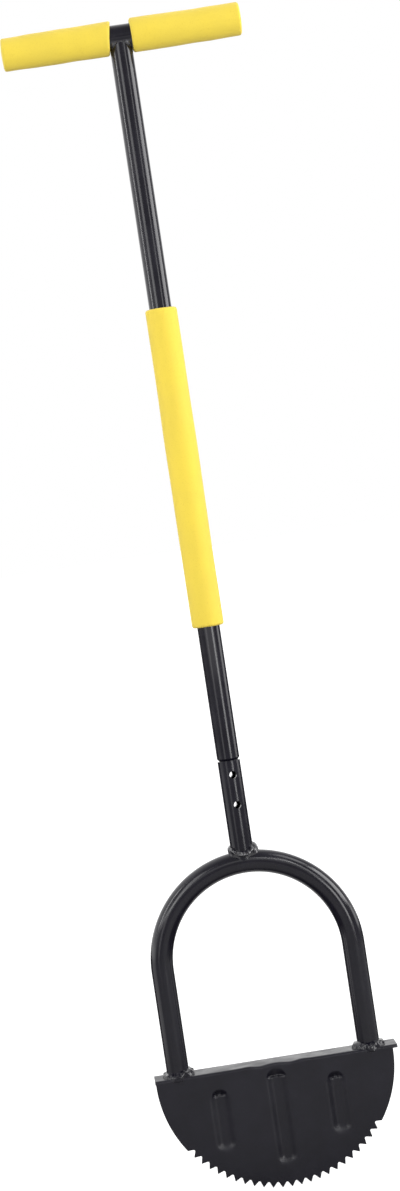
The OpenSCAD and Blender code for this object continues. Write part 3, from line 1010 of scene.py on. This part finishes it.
class EDGER_OT_grips(Operator):
    """Adds the three foam grips"""

    bl_idname = "edger.grips"
    bl_label = "Foam grips"

    def sleeve(self, name, node, points):
        """One grip as a closed foam sleeve."""
        foam = material("soft_yellow")
        piece = closed_piece(name, points, foam, merge=0.01 * MM, sharp=math.radians(60))
        place(piece, "handle", "yellow_foam", node)

    def execute(self, context):
        s = context.scene.edger_grips
        name = "shaft_foam_grip"
        low, high = corners("shaft_grip")
        profile = sleeve_profile(high[2] - low[2], SHAFT_R, high[0], high[0], s.rim, 0.0)
        along, p, q = revolve(profile, s.sag, SEEDS[name])
        self.sleeve(name, "shaft_grip", np.stack([p, q, low[2] + along], axis=-1))
        for side, word, lean in ((-1, "left", s.left_lean), (1, "right", s.right_lean)):
            name = f"{word}_foam_grip"
            low, high = corners(f"{word}_grip")
            long = high[0] - low[0] + side * s.end_shift
            inner = min(abs(low[0]), abs(high[0]))
            wide = (high[2] - low[2]) / 2
            profile = sleeve_profile(long - s.crown, BAR_R, wide, wide - s.taper, s.rim, s.crown)
            along, p, q = revolve(profile, s.sag, SEEDS[name])
            lean_end = 0.35 * long
            tip = lean * np.square(0.5 + 0.5 * q / wide) * (1 - smooth(along / lean_end))
            x = side * (inner + along - tip)
            points = np.stack([x, side * p, BAR_Z + q + math.tan(s.tilt) * x], axis=-1)
            self.sleeve(name, f"{word}_grip", points)
        return {"FINISHED"}


class EDGER_OT_stage(Operator):
    """Adds the pale floor, the soft studio light, the white surround and the camera"""

    bl_idname = "edger.stage"
    bl_label = "Stage"

    # Each light's name, place, the height that it faces, its width, height and radiance
    lights = (
        ("left_strip", around(-80, 1.6, 1.35), 1.35, 0.2, 1.2, 7.6),
        ("left_box", around(-33, 1.7, 1.35), 1.35, 0.6, 1.2, 3.0),
        ("right_strip", around(32, 1.7, 1.35), 1.35, 0.25, 1.2, 2.8),
        ("right_box", around(79, 1.7, 1.25), 1.25, 1.1, 1.2, 5.8),
        ("low_right_box", around(98, 1.7, 0.4), 0.4, 0.8, 0.4, 2.6),
        ("low_right_strip", around(31, 1.9, 0.4), 0.4, 0.46, 0.6, 5.6),
        ("low_left_box", around(-33, 1.7, 0.35), 0.35, 0.4, 0.5, 1.2),
        ("floor_left_box", around(-92, 0.7, 0.16), 0.16, 0.5, 0.3, 0.7),
        ("fill_front", around(0, 1.3, 0.7), 0.7, 1.8, 0.2, 0.6),
        ("fill_left", around(-50, 1.3, 0.7), 0.7, 0.9, 0.2, 2.8),
        ("fill_under", around(0, 0.45, 0.5), BAR_Z, 1.0, 0.25, 0.8),
        ("key_strip", around(20, 2.0, 1.6), 0.25, 0.8, 0.16, 9.0),
        ("top_right_box", (1.3, -0.3, 2.3), 0.9, 0.9, 0.9, 3.0),
    )

    def floor(self, s):
        """Pale floor: a round sheet, worked out as rings by angles, at the height of the tooth tips."""
        a = ring_angles(FLOOR_COLS)[None, :]
        r = s.floor_r * np.array([0.0, 0.02, 0.2, 1.0])[:, None]
        points = np.stack([r * np.cos(a), r * np.sin(a), 0 * r * a], axis=-1)
        quads = grid_quads(*points.shape[:2], wrap_cols=True)
        make_piece("floor", points, quads, floor_material(s), merge=0.01 * MM)

    def camera(self, s):
        """Camera at the photo's view."""
        cam = bpy.data.cameras.new("photo_camera")
        cam.lens, cam.sensor_width, cam.sensor_fit = s.lens, s.sensor, "AUTO"
        cam.clip_end = 4 * s.floor_r
        camera = bpy.data.objects.new("photo_camera", cam)
        camera.matrix_world = look_matrix(s.eye, s.target, s.roll)
        bpy.context.scene.collection.objects.link(camera)
        return camera

    def execute(self, context):
        scene = context.scene
        scene.view_settings.view_transform = "Standard"
        scene.world = studio_world(scene.edger_stage)
        self.floor(scene.edger_stage)
        for light in self.lights:
            soft_box(*light)
        scene.camera = self.camera(scene.edger_stage)
        return {"FINISHED"}


class EDGER_PT_panel(Panel):
    """Sidebar panel with the edger's steps and sizes"""

    bl_idname = "EDGER_PT_panel"
    bl_label = "Half Moon Edger"
    bl_space_type = "VIEW_3D"
    bl_region_type = "UI"
    bl_category = "Edger"

    def draw(self, context):
        for operator in OPERATORS:
            self.layout.operator(operator.bl_idname)
        for group in SETTINGS:
            box = self.layout.box()
            box.label(text=group.removeprefix("edger_").title())
            settings = getattr(context.scene, group)
            for key in settings.__annotations__:
                box.prop(settings, key)


SETTINGS = {
    "edger_blade": EdgerBlade,
    "edger_welds": EdgerWelds,
    "edger_grips": EdgerGrips,
    "edger_colours": EdgerColours,
    "edger_stage": EdgerStage,
}
OPERATORS = (EDGER_OT_finishes, EDGER_OT_blade, EDGER_OT_welds, EDGER_OT_grips, EDGER_OT_stage)
CLASSES = (*SETTINGS.values(), *OPERATORS, EDGER_PT_panel)


def register():
    """Registers all classes and hangs the settings on the scene."""
    for cls in CLASSES:
        bpy.utils.register_class(cls)
    for key, group in SETTINGS.items():
        setattr(bpy.types.Scene, key, PointerProperty(type=group))


def unregister():
    """Undoes register."""
    for key in SETTINGS:
        delattr(bpy.types.Scene, key)
    for cls in reversed(CLASSES):
        bpy.utils.unregister_class(cls)


def main():
    """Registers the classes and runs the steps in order."""
    register()
    bpy.ops.edger.finishes()
    bpy.ops.edger.blade()
    bpy.ops.edger.welds()
    bpy.ops.edger.grips()
    bpy.ops.edger.stage()


if __name__ == "__main__":
    main()
